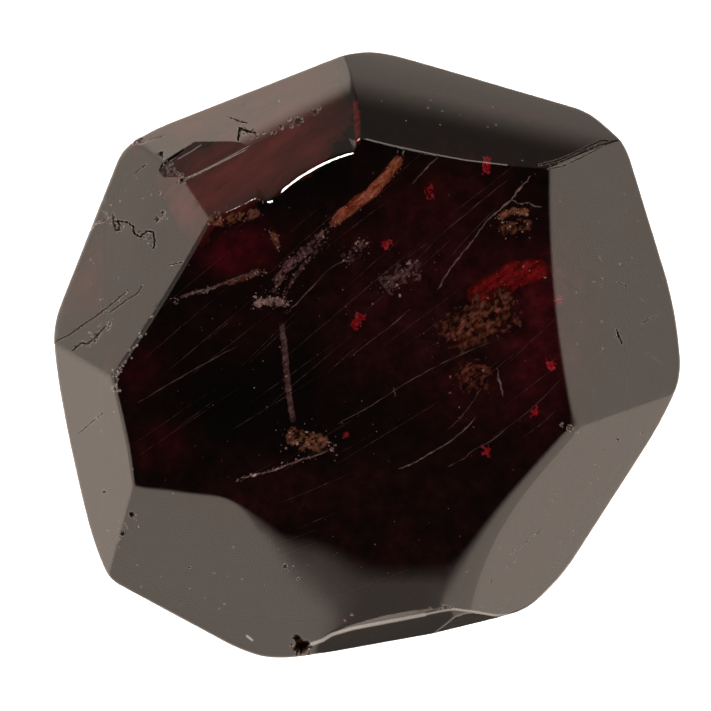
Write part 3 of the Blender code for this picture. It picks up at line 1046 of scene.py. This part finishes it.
# Films are healed cracks inside the stone, some red ones that paint a glow of light, and soft sheets
# of painted glow behind the crown flats: finish, half width in mm, lean across the path in degrees,
# patchiness from 0 (even) to 1 (broken up), strength of its colour, how many loose flakes lie about it,
# and spots with the depth of each in mm.
FILMS = {
    "rust_seam": ("rust", 0.46, 20.0, 0.35, 1.0, 40, (
        (403, 153, 0.25), (393, 167, 0.35), (377, 187, 0.5), (357, 203, 0.6), (340, 216, 0.7),
        (327, 229, 0.8),
    )),
    "seam_tail": ("ash", 0.45, 35.0, 0.75, 0.55, 86, (
        (330, 226, 0.7), (314, 243, 0.8), (297, 258, 0.9), (280, 276, 1.0), (268, 296, 1.1),
    )),
    "tail_side": ("ash", 0.3, 50.0, 0.8, 0.4, 40, (
        (328, 240, 0.9), (306, 262, 1.0), (290, 283, 1.1), (282, 300, 1.2),
    )),
    "white_patch": ("ash", 0.35, 10.0, 0.7, 0.9, 106, (
        (252, 304, 0.6), (270, 301, 0.5), (288, 304, 0.6),
    )),
    "left_veil": ("ash", 0.22, 60.0, 0.6, 0.75, 93, (
        (172, 301, 0.4), (190, 294, 0.5), (212, 288, 0.6), (240, 277, 0.8), (268, 271, 0.9),
    )),
    "left_veil_gold": ("gold", 0.3, 20.0, 0.6, 0.6, 13, (
        (225, 284, 0.9), (240, 279, 1.0), (262, 270, 1.0),
    )),
    "upright_band": ("ash", 0.26, 15.0, 0.3, 0.36, 13, (
        (281, 318, 0.7), (284, 345, 0.8), (287, 376, 0.9), (290, 402, 0.9), (294, 426, 0.8),
    )),
    "gold_patch": ("gold", 0.75, 10.0, 0.75, 0.75, 80, (
        (284, 433, 0.7), (306, 441, 0.6), (330, 446, 0.6),
    )),
    "lower_veil": ("ash", 0.13, 55.0, 0.55, 0.75, 73, (
        (236, 481, 0.4), (254, 475, 0.4), (272, 471, 0.45), (298, 461, 0.5), (318, 455, 0.5),
        (334, 448, 0.5),
    )),
    "tan_brow": ("gold", 0.45, 10.0, 0.8, 0.6, 40, ((206, 221, 0.8), (232, 218, 0.8), (262, 212, 0.8))),
    "tan_drop": ("gold", 0.28, 10.0, 0.8, 0.6, 20, ((271, 228, 0.9), (275, 238, 0.9), (277, 250, 1.0))),
    # Painted glow: soft red sheets behind the crown flats stand in for light through the thin edges.
    "behind_back_left": ("painted_glow", 4.2, -44.0, 0.15, 0.42, 0, (
        (164, 209, 1.2), (180, 200, 1.2), (240, 165, 1.2), (300, 130, 1.2), (372, 92, 1.2),
    )),
    "behind_outer": ("painted_glow", 2.6, -50.0, 0.2, 0.22, 0, (
        (120, 165, 1.6), (200, 120, 1.4), (280, 90, 1.4), (350, 70, 1.4),
    )),
    "behind_left_back": ("painted_glow", 3.4, -48.0, 0.2, 0.22, 0, (
        (75, 340, 2.0), (105, 280, 2.0), (140, 220, 2.0), (170, 160, 2.0),
    )),
    "behind_back": ("painted_glow", 3.2, -42.0, 0.3, 0.12, 0, (
        (365, 110, 2.4), (430, 120, 2.4), (500, 130, 2.4), (580, 140, 2.4),
    )),
    "right_cloud": ("gold", 1.7, 10.0, 0.85, 0.6, 46, (
        (440, 345, 1.3), (470, 325, 1.2), (500, 312, 1.2), (520, 300, 1.2),
    )),
    "right_cloud_low": ("gold", 1.1, 10.0, 0.9, 0.5, 13, (
        (455, 390, 1.6), (475, 372, 1.6), (482, 395, 1.6),
    )),
    # Painted glow: a crack coloured bright red, standing in for light glowing off it.
    "red_streak": ("ember", 0.95, 10.0, 0.45, 0.72, 13, (
        (468, 306, 1.2), (488, 290, 1.2), (510, 278, 1.2), (530, 271, 1.2), (549, 265, 1.2),
    )),
    # Painted glow: a thin red strip at the back corner.
    "back_corner_red": ("ember", 0.16, 10.0, 0.3, 0.38, 0, (
        (353, 98, 0.7), (356, 122, 0.8), (358, 146, 0.8),
    )),
    "tan_arc": ("gold", 0.34, 15.0, 0.6, 0.8, 26, (
        (497, 221, 0.7), (507, 213, 0.6), (519, 211, 0.6), (531, 213, 0.6),
    )),
    "tan_fan": ("gold", 0.5, 15.0, 0.8, 0.45, 26, ((499, 232, 0.9), (516, 226, 0.9), (534, 222, 0.9))),
    "middle_fleck": ("ash", 0.8, 10.0, 0.9, 0.45, 73, (
        (380, 290, 1.0), (400, 275, 1.0), (424, 268, 1.0),
    )),
    "seam_side": ("ash", 0.5, 10.0, 0.9, 0.4, 46, ((345, 262, 1.0), (356, 250, 1.0), (366, 243, 1.0))),
}

# Films of this finish are soft sheets that paint the red glow of light through the stone's thin edges.
GLOW_FINISH = "painted_glow"

# Films: mesh step, how many steps at most lie across half a film, height and length of its lumps (a
# glow sheet's are longer), thickness, share of its strength below which it is left out, how ragged its
# rim is, and the cover of stone over it.
FILM_STEP = 0.07
FILM_STEPS_ACROSS = 14.0
FILM_BUMP = 0.12
FILM_GRAIN = 0.45
GLOW_GRAIN = 3.0
FILM_THICKNESS = 0.02
FILM_FAINTEST = 0.30
FILM_RAGGEDNESS = 0.35
FILM_COVER = 0.08

# Loose flakes: how far they stray in half widths of their film, rise above it, cover over them,
# smallest reach and what is usually added to it, and thickness.
FLAKE_SPREAD = 0.6
FLAKE_RISE = 0.15
FLAKE_COVER = 0.1
FLAKE_SMALLEST = 0.012
FLAKE_USUAL_EXTRA = 0.028
FLAKE_THICKNESS = 0.008
FLAKE_SEED = 21

# Nothing sealed in the stone comes nearer to its surface than the skin. What does is drawn towards
# the heart in small steps.
SKIN = 0.10
DRAW_IN = 0.015
DRAW_STEPS = 40

# A layer under the whole table that paints the stone's red glow, stronger in pools: spot, reach right and
# down in pixels, strength, and warmth from 0 (crimson) to 1 (brown). In dark pools the layer is left black,
# painting the darkest parts of the stone.
LAYER_DEPTH = 2.5
TABLE_REACH = 16.0
LAYER_STEP = 0.25
LAYER_BASE = 0.012
LAYER_RIM = 1.2
POOLS = (
    (238, 248, 34, 26, 0.20, 0.0),
    (138, 368, 30, 26, 0.061, 0.0),
    (164, 445, 34, 22, 0.055, 0.1),
    (540, 330, 32, 80, 0.14, 0.2),
    (505, 275, 50, 22, 0.11, 0.4),
    (450, 330, 90, 60, 0.080, 0.7),
    (400, 252, 90, 42, 0.075, 0.5),
    (470, 400, 60, 40, 0.055, 0.6),
    (255, 325, 50, 26, 0.030, 0.4),
    (352, 330, 50, 55, 0.036, 0.6),
    (440, 195, 60, 30, 0.075, 0.4),
    (385, 480, 130, 38, 0.038, 1.0),
    (270, 492, 60, 22, 0.033, 0.7),
    (400, 545, 80, 28, 0.030, 1.0),
)
DARK_POOLS = (
    (236, 402, 42, 32, 1.0),
    (334, 178, 24, 20, 0.9),
    (300, 370, 20, 40, 0.6),
    (410, 420, 30, 20, 0.2),
)

# Fine lines and cracks in the stone: half width in mm, strength, and spots with depths.
HAIRS = {
    "right_crack": (0.055, 1.0, (
        (531, 176, 0.2), (519, 190, 0.25), (509, 202, 0.3), (497, 212, 0.3), (486, 222, 0.35),
        (476, 236, 0.4), (467, 248, 0.45), (455, 262, 0.5), (446, 276, 0.6), (437, 290, 0.7),
    )),
    "right_crack_side": (0.05, 0.9, (
        (512, 200, 0.2), (520, 204, 0.2), (528, 203, 0.2), (534, 206, 0.2), (542, 207, 0.2),
    )),
    "far_line": (0.03, 0.45, ((409, 268, 0.5), (440, 236, 0.5), (474, 207, 0.5), (507, 180, 0.5))),
    "far_line_side": (0.025, 0.35, ((446, 262, 0.6), (470, 235, 0.6), (498, 206, 0.6))),
    "middle_line": (0.025, 0.5, ((350, 357, 0.4), (372, 340, 0.4), (392, 325, 0.4), (410, 309, 0.4))),
    "left_line": (0.03, 0.45, ((137, 403, 0.4), (168, 385, 0.4), (202, 365, 0.4), (238, 346, 0.4))),
    "long_line": (0.03, 0.5, (
        (338, 424, 0.4), (372, 405, 0.4), (408, 382, 0.4), (445, 362, 0.4), (500, 338, 0.4),
    )),
    "low_line": (0.045, 0.8, (
        (398, 469, 0.3), (412, 464, 0.3), (424, 457, 0.3), (436, 450, 0.3), (448, 443, 0.3),
        (462, 432, 0.35), (476, 417, 0.4),
    )),
    "low_line_side": (0.035, 0.7, (
        (447, 467, 0.4), (463, 459, 0.4), (474, 450, 0.4), (492, 440, 0.4), (510, 425, 0.4),
    )),
    "edge_line": (0.025, 0.4, ((493, 437, 0.5), (520, 418, 0.5), (543, 398, 0.5), (562, 378, 0.5))),
    "edge_line_low": (0.025, 0.35, ((522, 438, 0.5), (540, 425, 0.5), (556, 410, 0.5))),
    "curved_line": (0.035, 0.5, ((447, 430, 0.7), (462, 416, 0.7), (474, 400, 0.7), (481, 388, 0.7))),
    "bright_post": (0.055, 1.0, ((497, 368, 0.3), (499, 379, 0.3), (502, 390, 0.3), (503, 397, 0.3))),
    "short_post": (0.045, 0.7, ((394, 387, 0.3), (395, 397, 0.3))),
    "seam_spur": (0.05, 0.8, ((412, 184, 0.3), (421, 174, 0.3), (430, 164, 0.3), (438, 158, 0.3))),
    "lens_rim": (0.04, 0.6, ((358, 258, 0.9), (330, 268, 0.9), (300, 300, 0.9), (286, 314, 0.9))),
    # flake_line lies just under the flake's rubbed edge and, with it, paints a thin highlight along that
    # edge.
    "flake_line": (0.025, 0.3, ((184, 181, 0.15), (217, 163, 0.15), (249, 146, 0.15), (272, 135, 0.15))),
}
HAIR_STEPS = 5
HAIR_SEED = 33

# Fine straight lines left as the crystal grew: how many, where, their slant in degrees at the back
# and at the front of the table and how much it varies, lengths, half width and depths in mm.
GROWTH_LINES = 55
GROWTH_FROM_LEFT = (-13.0, 11.0)
GROWTH_FROM_FRONT = (-14.5, 11.0)
GROWTH_SLANT_BACK = 40.0
GROWTH_SLANT_FRONT = 17.0
GROWTH_SLANT_SPREAD = 2.0
GROWTH_SLANT_START = -13.0
GROWTH_SLANT_WIDTH = 12.0
GROWTH_PIECES = 8
GROWTH_LENGTHS = (2.0, 8.0)
GROWTH_HALF_WIDTH = 0.014
GROWTH_DEPTHS = (0.25, 0.9)
GROWTH_SEED = 5

# Painted glints: clusters of bright red flakes deep in the stone, coloured to stand in for light glinting off
# cracks: spot, depth, and half width and half height in mm.
GLINTS = (
    (387.5, 244, 1.6, 0.30, 0.42),
    (551, 364, 1.5, 0.30, 0.26),
    (345.5, 435, 1.8, 0.22, 0.18),
    (358.5, 320, 1.9, 0.42, 0.55),
    (430, 192, 1.9, 0.26, 0.50),
    (487, 168, 1.8, 0.25, 0.32),
    (487, 452, 1.9, 0.26, 0.32),
    (560, 300, 1.8, 0.20, 0.40),
    (535, 412, 1.9, 0.25, 0.25),
    (133, 144, 0.6, 0.16, 0.14),
)
GLINT_FLAKES = 26
GLINT_HALF_DEPTH = 0.2
GLINT_SIZES = (0.25, 0.6)
GLINT_SEED = 41

# Bright specks under the table: how many are tried, where, their sizes and depths.
SPECKS = 150
SPECKS_FROM_LEFT = (-13.0, 12.0)
SPECKS_FROM_FRONT = (-14.0, 12.0)
SPECK_SIZES = (0.015, 0.045)
SPECK_DEPTHS = (0.15, 1.2)
SPECK_SEED = 9


def crown_normal(x, y):
    """Outward normal of the ground crown above a point in plan."""
    step = NORMAL_STEP
    slope_x = (crown_height(x - step, y) - crown_height(x + step, y)) / (2.0 * step)
    slope_y = (crown_height(x, y - step) - crown_height(x, y + step)) / (2.0 * step)
    return Vector((slope_x, slope_y, 1.0)).normalized()


def sealed_place(right, down, depth):
    """Place inside the stone, in mm, that the camera sees at a spot, bent by the polished surface."""
    x, y = under_spot((right, down))
    surface = Vector((x, y, crown_height(x, y)))
    normal = crown_normal(x, y)
    entering = -normal.z
    share = 1.0 / GARNET_IOR
    bent = share * Vector((0.0, 0.0, -1.0))
    bent -= (share * entering + math.sqrt(1.0 - share ** 2 * (1.0 - entering ** 2))) * normal
    return surface + bent * (depth / -bent.z)


def eased_path(points, steps):
    """Points at even steps on a smooth curve through the given points."""
    given = [points[0], *points, points[-1]]
    made = []
    for i in range(len(points) - 1):
        p0, p1, p2, p3 = given[i : i + 4]
        for step in range(steps):
            t = step / steps
            made.append(0.5 * (
                2.0 * p1 + (p2 - p0) * t + (2.0 * p0 - 5.0 * p1 + 4.0 * p2 - p3) * t ** 2
                + (3.0 * p1 - p0 - 3.0 * p2 + p3) * t ** 3
            ))
    made.append(points[-1])
    return made


def path_length(points):
    return sum((b - a).length for a, b in zip(points[:-1], points[1:]))


def level_across(path, index):
    """Level direction square to a path at one of its points."""
    ahead = path[min(index + 1, len(path) - 1)] - path[max(index - 1, 0)]
    return Vector((-ahead.y, ahead.x, 0.0)).normalized()


def film_mesh(name, spots, half_width, lean, patchiness, strength, glow_sheet, seed):
    """A thin uneven sheet along a path. Its attribute "show" fades its colour to nothing at the rim,
    gently in a sheet of painted glow and quickly in a film."""
    corners = [sealed_place(*spot) for spot in spots]
    size = max(FILM_STEP, half_width / FILM_STEPS_ACROSS)
    steps = max(2, round(path_length(corners) / (len(corners) - 1) / size))
    path = eased_path(corners, steps)
    across_count = max(4, round(2.0 * half_width / size))
    grain = FILM_GRAIN * (GLOW_GRAIN if glow_sheet else 1.0)
    bm = bmesh.new()
    bmesh.ops.create_grid(bm, x_segments=len(path) - 1, y_segments=across_count, size=0.5)
    offset = Vector((seed * 7.3, seed * 3.1, 0.0))
    lean = math.radians(lean)
    show = bm.verts.layers.float.new("show")
    for vert in bm.verts:
        along = vert.co.x + 0.5
        side = 2.0 * vert.co.y
        index = min(round(along * (len(path) - 1)), len(path) - 1)
        level = level_across(path, index)
        rim = noise.noise(Vector((along * 9.0, side, 0.0)) + offset)
        away = side * half_width * (1.0 + FILM_RAGGEDNESS * rim)
        place = path[index] + level * (away * math.cos(lean)) + Vector((0.0, 0.0, away * math.sin(lean)))
        lump = noise.noise(place / grain + offset)
        place.z = min(place.z + FILM_BUMP * lump, crown_height(place.x, place.y) - FILM_COVER)
        end = min(along, 1.0 - along)
        if glow_sheet:
            edge = max(0.0, 1.0 - side ** 2) * min(1.0, end * 4.0)
        else:
            edge = max(0.0, 1.0 - abs(side) ** 3) * min(1.0, end * 6.0)
        patch = 0.5 + 0.5 * noise.fractal(place / grain * 1.7 + offset, 0.6, 2.2, 4)
        broken = (1.0 - patchiness) + patchiness * max(0.0, min(1.0, (patch - 0.38) * 3.2))
        vert[show] = strength * edge * broken
        vert.co = place
    least = FILM_FAINTEST * strength
    faint = [face for face in bm.faces if sum(vert[show] for vert in face.verts) < 4.0 * least]
    bmesh.ops.delete(bm, geom=faint, context="FACES")
    mesh = solid_mesh(bm, name, FILM_THICKNESS)
    mesh.shade_smooth()
    return mesh, path


def pool_share(spots, right, down, reach_right, reach_down):
    offset = ((spots - (right, down)) / (reach_right, reach_down)) ** 2
    return np.exp(-offset.sum(axis=1))


def build_layer(finish):
    """The layer under the table that paints the stone's red glow in pools, left black in its dark pools."""
    bm = bmesh.new()
    count = round(2.0 * TABLE_REACH / LAYER_STEP)
    bmesh.ops.create_grid(bm, x_segments=count, y_segments=count, size=TABLE_REACH)
    for vert in bm.verts:
        vert.co.z = crown_height(vert.co.x, vert.co.y) - LAYER_DEPTH
    p = coordinates(bm)
    scale = FIELD_AT_TABLE / FRAME_SIZE
    spots = (p[:, :2] - CAMERA_PLAN) * (1.0, -1.0) / scale + FRAME_SIZE / 2.0
    strength = np.full(len(p), LAYER_BASE)
    warm = np.full(len(p), LAYER_BASE)
    for right, down, reach_right, reach_down, amount, warmth in POOLS:
        pool = amount * pool_share(spots, right, down, reach_right, reach_down)
        strength += pool
        warm += pool * warmth
    warm /= strength
    for right, down, reach_right, reach_down, amount in DARK_POOLS:
        strength *= 1.0 - amount * pool_share(spots, right, down, reach_right, reach_down)
    show = bm.verts.layers.float.new("show")
    warmth = bm.verts.layers.float.new("warmth")
    for vert, value, warm_value in zip(bm.verts, strength, warm):
        lump = 0.5 + 0.5 * noise.fractal(vert.co / 1.3, 0.7, 2.1, 4)
        vert[show] = min(1.0, value * (0.45 + 1.1 * lump))
        vert[warmth] = warm_value
    deep = STONE.distance(p) < -LAYER_RIM
    shallow = [vert for vert, kept in zip(bm.verts, deep) if not kept]
    bmesh.ops.delete(bm, geom=shallow, context="VERTS")
    mesh = solid_mesh(bm, "painted_glow_layer", FILM_THICKNESS)
    mesh.shade_smooth()
    place_piece("painted_glow_layer", mesh, finish)


def add_flake(bm, place, size, dice):
    """One ragged flake of three to five corners, lying nearly level."""
    tilt = Matrix.Rotation(dice.gauss(0.0, 0.5), 3, "X")
    tilt = tilt @ Matrix.Rotation(dice.gauss(0.0, 0.5), 3, "Y")
    start = dice.uniform(0.0, 2.0 * math.pi)
    corner_count = dice.choice((3, 4, 5))
    corners = []
    for number in range(corner_count):
        turn = start + 2.0 * math.pi * number / corner_count
        reach = size * dice.uniform(0.5, 1.3)
        corner = Vector((math.cos(turn) * reach, math.sin(turn) * reach, 0.0))
        corners.append(bm.verts.new(place + tilt @ corner))
    bm.faces.new(corners)


def strip(bm, path, half_width, dice):
    """A ragged flat strip along a path, level across."""
    rows = []
    for index, place in enumerate(path):
        level = level_across(path, index)
        end = min(1.0, 0.25 + min(index, len(path) - 1 - index) * 0.25)
        width = half_width * dice.uniform(0.45, 1.4) * end
        sway = level * dice.gauss(0.0, half_width * 0.5)
        rows.append((bm.verts.new(place + sway + level * width), bm.verts.new(place + sway - level * width)))
    for (a, b), (c, d) in zip(rows[:-1], rows[1:]):
        bm.faces.new((a, b, d, c))


def solid_mesh(bm, name, thickness):
    """Give sheets a thickness in mm, keep them inside the stone, and turn them into a mesh in metres."""
    p = coordinates(bm)
    outside = np.arange(len(p))
    for _ in range(DRAW_STEPS):
        outside = outside[STONE.distance(p[outside]) > -SKIN]
        if len(outside) == 0:
            break
        p[outside] += (STONE_HEART - p[outside]) * DRAW_IN
    for vert, co in zip(bm.verts, p):
        vert.co = co
    bmesh.ops.solidify(bm, geom=bm.faces[:], thickness=thickness)
    bmesh.ops.recalc_face_normals(bm, faces=bm.faces)
    return finished_mesh(bm, name)


def build_films(finishes):
    flakes = bmesh.new()
    dice = random.Random(FLAKE_SEED)
    for number, (name, film) in enumerate(FILMS.items()):
        finish, half_width, lean, patchiness, strength, flake_count, spots = film
        glow_sheet = finish == GLOW_FINISH
        mesh, path = film_mesh(name, spots, half_width, lean, patchiness, strength, glow_sheet, number + 1)
        place_piece(name, mesh, finishes[finish])
        for _ in range(flake_count):
            place = dice.choice(path).copy()
            place.x += dice.gauss(0.0, half_width * FLAKE_SPREAD)
            place.y += dice.gauss(0.0, half_width * FLAKE_SPREAD)
            above = place.z + FLAKE_RISE + dice.uniform(0.0, 2.0 * FLAKE_RISE)
            place.z = min(above, crown_height(place.x, place.y) - FLAKE_COVER)
            add_flake(flakes, place, FLAKE_SMALLEST + dice.expovariate(1.0 / FLAKE_USUAL_EXTRA), dice)
    specks = random.Random(SPECK_SEED)
    for _ in range(SPECKS):
        x = specks.uniform(*SPECKS_FROM_LEFT)
        y = specks.uniform(*SPECKS_FROM_FRONT)
        place = Vector((x, y, crown_height(x, y) - specks.uniform(*SPECK_DEPTHS)))
        if inside_table(x, y):
            add_flake(flakes, place, specks.uniform(*SPECK_SIZES), specks)
    mesh = solid_mesh(flakes, "bright_flakes", FLAKE_THICKNESS)
    place_piece("bright_flakes", mesh, finishes["flake"])


def inside_table(x, y):
    """Whether the table, and no flat, is the crown's surface above a point in plan."""
    return STONE_HEIGHT - float(dome_drop(x, y)) < crown_height(x, y) + 0.001


def build_hairs(finishes):
    dice = random.Random(HAIR_SEED)
    for name, (half_width, strength, spots) in HAIRS.items():
        bm = bmesh.new()
        path = eased_path([sealed_place(*spot) for spot in spots], HAIR_STEPS)
        strip(bm, path, half_width, dice)
        mesh = solid_mesh(bm, name, FLAKE_THICKNESS)
        values = [strength * dice.uniform(0.5, 1.0) for _ in mesh.vertices]
        mesh.attributes.new("show", "FLOAT", "POINT").data.foreach_set("value", values)
        place_piece(name, mesh, finishes["ash"])


def build_growth_lines(finishes):
    dice = random.Random(GROWTH_SEED)
    bm = bmesh.new()
    for _ in range(GROWTH_LINES):
        x = dice.uniform(*GROWTH_FROM_LEFT)
        y = dice.uniform(*GROWTH_FROM_FRONT)
        share = min(1.0, max(0.0, (y - GROWTH_SLANT_START) / GROWTH_SLANT_WIDTH))
        slant = GROWTH_SLANT_FRONT + (GROWTH_SLANT_BACK - GROWTH_SLANT_FRONT) * share
        slant = math.radians(slant + dice.gauss(0.0, GROWTH_SLANT_SPREAD))
        length = dice.uniform(*GROWTH_LENGTHS)
        depth = dice.uniform(*GROWTH_DEPTHS)
        path = []
        for step in range(GROWTH_PIECES + 1):
            away = (step / GROWTH_PIECES - 0.5) * length
            px = x + math.cos(slant) * away
            py = y + math.sin(slant) * away
            if inside_table(px, py):
                path.append(Vector((px, py, crown_height(px, py) - depth)))
        if len(path) > 3:
            strip(bm, path, GROWTH_HALF_WIDTH, dice)
    mesh = solid_mesh(bm, "growth_lines", FLAKE_THICKNESS)
    place_piece("growth_lines", mesh, finishes["growth"])


def build_glints(finishes):
    dice = random.Random(GLINT_SEED)
    bm = bmesh.new()
    for right, down, depth, half_width, half_height in GLINTS:
        middle = sealed_place(right, down, depth)
        for _ in range(GLINT_FLAKES):
            x = dice.gauss(0.0, half_width * 0.5)
            y = dice.gauss(0.0, half_height * 0.5)
            z = dice.uniform(-GLINT_HALF_DEPTH, GLINT_HALF_DEPTH)
            add_flake(bm, middle + Vector((x, y, z)), dice.uniform(*GLINT_SIZES) * half_width, dice)
    mesh = solid_mesh(bm, "deep_glints", FLAKE_THICKNESS)
    place_piece("deep_glints", mesh, finishes["glint"])


# ---------------------------------------------------------------- putting it together


def place_piece(name, mesh, material):
    """Put a mesh of the stone in the scene with its material, riding on the stone's body."""
    mesh.materials.append(material)
    piece = add_object(name, mesh)
    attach(piece, BODY)
    return piece


def build_stone():
    surface = place_piece("garnet_surface", stone_mesh(STONE), polished_garnet())
    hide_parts(NODE)


bpy.context.scene.view_settings.view_transform = "Standard"
camera_above()
floor_card()
light_tent()
studio_lights()
build_stone()
finishes = inclusion_finishes()
build_layer(finishes["layer"])
build_films(finishes)
build_hairs(finishes)
build_growth_lines(finishes)
build_glints(finishes)
